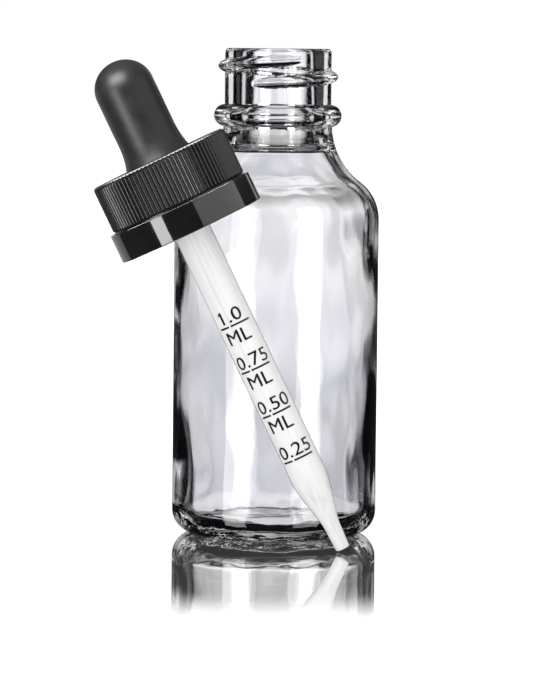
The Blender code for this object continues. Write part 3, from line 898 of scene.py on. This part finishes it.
def set_world():
    """A white surround. What is seen straight through glass is a pale backdrop with a dark flag at each side.
    Light that is turned about inside the glass comes from a window behind, from two window panels in front,
    or from a dark room, which draws the dark edges of clear glass. Shiny surfaces see a dim room."""
    world = bpy.data.worlds.new("studio")
    world.use_nodes = True
    world.cycles.sampling_method = "NONE"
    bpy.context.scene.world = world
    tree = world.node_tree
    tree.nodes.clear()

    def multiply(first, second):
        return maths(tree, "MULTIPLY", first, second)

    def add(first, second):
        return maths(tree, "ADD", first, second)

    def either(first, second):
        return maths(tree, "MAXIMUM", first, second)

    def blend(share, first, second):
        return put(tree, "Mix", {0: share, 6: first, 7: second}, data_type="RGBA").outputs[2]

    way = put(tree, "TexCoord").outputs["Generated"]
    x, y, z = put(tree, "SeparateXYZ", {"Vector": way}).outputs
    low = multiply(z, -1.0)
    level = maths(tree, "MAXIMUM", maths(tree, "SQRT", add(multiply(x, x), multiply(y, y))), 0.01)
    ahead = maths(tree, "DIVIDE", y, level)
    across = maths(tree, "DIVIDE", x, level)

    # which rays passed the glass without being turned about in it
    ray = put(tree, "LightPath").outputs
    turned = ray["Glossy Depth"]
    straight = maths(tree, "LESS_THAN", turned, 0.5)
    by_floor = multiply(maths(tree, "LESS_THAN", turned, 1.5), maths(tree, "GREATER_THAN", z, 0.1))
    from_matt = maths(tree, "GREATER_THAN", ray["Diffuse Depth"], 0.5)
    clear = either(either(straight, by_floor), from_matt)

    # where the backdrop is bright
    above = ramp(tree, z, (0.0, 1.0), (0.16, 1.0), (0.26, 0.0), (0.6, 0.0), (0.8, 0.4))
    below = ramp(tree, low, (0.16, 1.0), (0.30, 0.0))
    between_flags = ramp(tree, ahead, (0.84, 1.0), (0.87, 0.0), (0.953, 0.0), (0.977, 1.0))
    strip = ramp(tree, low, (0.058, 0.0), (0.070, 1.0), (0.092, 1.0), (0.102, 0.0))
    wing = multiply(strip, ramp(tree, across, (0.25, 0.0), (0.35, 0.8)))
    window = multiply(ramp(tree, ahead, (0.953, 0.0), (0.977, 0.95)), below)
    share = multiply(either(multiply(either(between_flags, wing), clear), window), above)

    # its tones from the horizon down, with soft folds
    tones = [(0.0, 1.0), (0.04, (0.95, 0.95, 0.985)), (0.08, (0.86, 0.86, 0.90))]
    tones += [(0.13, (0.66, 0.66, 0.71)), (0.2, (0.78, 0.78, 0.81)), (0.4, (0.88, 0.88, 0.90))]
    stretched = put(tree, "Mapping", {"Vector": way, "Scale": (1.0, 1.0, 0.5)}).outputs["Vector"]
    folds = noise(tree, stretched, 14.0, detail=1.0)
    lifted = ramp(tree, z, (0.03, 1.0), (0.12, 0.55))
    shade = multiply(ramp(tree, folds, (0.34, 0.86), (0.60, 1.1)), lifted)
    drop = put(tree, "Mix", {0: 1.0, 6: ramp(tree, low, *tones), 7: shade},
               data_type="RGBA", blend_type="MULTIPLY").outputs[2]
    through = blend(share, (0.002, 0.002, 0.003, 1.0), drop)

    # the window panels in front, seen only by turned rays
    side = add(multiply(across, 0.5), 0.5)
    panes = ramp(tree, side, (0.08, 0.0), (0.09, 1.0), (0.26, 1.0), (0.27, 0.0),
                 (0.68, 0.0), (0.69, 0.8), (0.89, 0.8), (0.90, 0.0))
    height = maths(tree, "LESS_THAN", maths(tree, "ABSOLUTE", z), 0.55)
    front = multiply(maths(tree, "LESS_THAN", y, 0.0), height)
    shown = multiply(multiply(panes, front), maths(tree, "SUBTRACT", 1.0, clear))
    through = blend(shown, through, (*[WINDOW_LIGHT] * 3, 1.0))

    room = ramp(tree, z, (0.0, 0.02), (0.35, 0.04), (0.6, 0.2), (1.0, 0.4))
    mirrored = blend(ray["Is Singular Ray"], room, WHITE)
    by_glass = blend(ray["Is Transmission Ray"], mirrored, through)
    seen = blend(either(ray["Is Camera Ray"], ray["Is Diffuse Ray"]), by_glass, WHITE)
    light = put(tree, "Background", {"Color": seen, "Strength": 1.0}).outputs[0]
    output = put(tree, "OutputWorld")
    tree.links.new(light, output.inputs["Surface"])


def add_floor():
    """A plain white floor that is polished where the bottle stands."""
    bm = bmesh.new()
    bmesh.ops.create_circle(bm, cap_ends=True, radius=FLOOR_R, segments=128)
    piece = solid("floor", bm)
    piece.location = (BOTTLE_AXIS.x, BOTTLE_AXIS.y, -FLOOR_DROP)
    made, tree, shader = blank("white_floor", Roughness=0.9, Specular_IOR_Level=0.0)
    shader.inputs["Base Color"].default_value = (0.97, 0.97, 0.97, 1.0)
    shader.inputs["Emission Color"].default_value = WHITE
    shader.inputs["Emission Strength"].default_value = FLOOR_GLOW
    polish = put(tree, "BsdfGlossy", {"Color": WHITE, "Roughness": 0.0}).outputs[0]
    spot = put(tree, "TexCoord").outputs["Object"]
    away = put(tree, "VectorMath", {0: spot}, operation="LENGTH").outputs["Value"]
    near = put(tree, "MapRange", {"Value": away, 1: MIRROR_FROM, 2: MIRROR_TO, 3: 1.0, 4: 0.0},
               interpolation_type="SMOOTHSTEP").outputs[0]
    facing = put(tree, "LayerWeight", {"Blend": 0.5}).outputs["Facing"]
    share = maths(tree, "MULTIPLY", near, ramp(tree, facing, (0.5, 0.15), (0.85, 0.97)))
    mixed = put(tree, "MixShader", {0: share, 1: shader.outputs[0], 2: polish}).outputs[0]
    tree.links.new(mixed, tree.nodes["Material Output"].inputs["Surface"])
    piece.data.materials.append(made)
    piece.visible_transmission = False
    piece.visible_glossy = False
    piece.visible_shadow = False


def main():
    glass = bottle_glass()
    tube_glass = pipette_glass()
    bottle = make_bottle(glass)
    tube = make_pipette(tube_glass)
    for clear in (bottle, tube):
        clear.visible_shadow = False
    satin = plastic("satin_plastic", (0.004, 0.004, 0.0042), (0.008, 0.008, 0.0084), (0.22, 0.32), 3.0, 0.02)
    gloss = plastic("gloss_plastic", (0.004, 0.004, 0.0045), (0.007, 0.007, 0.0075), (0.05, 0.09), 0.6, 0.004,
                    coat=0.4)
    plain = plastic("moulded_plastic", (0.012, 0.012, 0.012), (0.022, 0.022, 0.022), (0.28, 0.40), 2.0, 0.02)
    bulb = make_bulb(rubber())
    shell = make_shell(satin)
    ring = make_ring(gloss)
    inside = [make_marks(ink()), make_inner_cap(plain), make_washer(seal_foam()), make_spring(spring_steel())]
    for_dropper = receivers("lit_dropper", [bulb, shell, ring, *inside])
    for_bulb = receivers("lit_bulb", [bulb])
    for_ribs = receivers("lit_ribs", [shell, ring])
    for_inside = receivers("lit_inside", [bulb, *inside])
    for_tube = receivers("lit_tube", [tube])
    for_bottle = receivers("lit_bottle", [bottle])
    panel("strip_left", DROPPER_PLACE, (-48.4, -29.6), (30, 150), 0.25, 9.7, for_dropper)
    panel("panel_right", DROPPER_PLACE, (21.0, 100.0), (20, 160), 0.25, 1.36, for_ribs)
    panel("bulb_right", DROPPER_PLACE, (30.0, 100.0), (20, 160), 0.25, 0.85, for_inside)
    panel("strip_back", DROPPER_PLACE, (140.0, 160.0), (30, 150), 0.25, 0.7, for_dropper)
    panel("panel_back", DROPPER_PLACE, (185.0, 241.0), (20, 160), 0.25, 0.5, for_dropper)
    lamp("softbox", DROPPER_PLACE, -14.0, 52.0, 90.0, (0.24, 0.17), 0.25, 12.5, for_bulb)
    lamp("overhead", DROPPER_PLACE, 180.0, 76.0, 80.0, (0.50, 0.30), 0.30, 18.0, for_ribs)
    lamp("from_below", DROPPER_PLACE, 180.0, -76.0, 80.0, (0.50, 0.30), 0.30, 12.0, for_ribs)
    panel("tube_front", DROPPER_PLACE, (-60.0, 60.0), (-20, 160), 0.25, 0.92, for_tube)
    panel("tube_back", DROPPER_PLACE, (120.0, 240.0), (-20, 160), 0.25, 0.5, for_tube)
    panel("window_left", BOTTLE_PLACE, (-56.0, -28.0), (-200, 260), 0.30, WINDOW_LIGHT, for_bottle)
    panel("window_right", BOTTLE_PLACE, (22.0, 52.0), (-200, 260), 0.30, 0.8 * WINDOW_LIGHT, for_bottle)
    set_world()
    add_floor()
    add_camera()
    scene = bpy.context.scene
    scene.view_settings.view_transform = "Standard"
    scene.view_settings.look = "None"
    scene.cycles.max_bounces = 32
    scene.cycles.transmission_bounces = 32
    scene.cycles.glossy_bounces = 12
    scene.cycles.blur_glossy = 0.0


main()
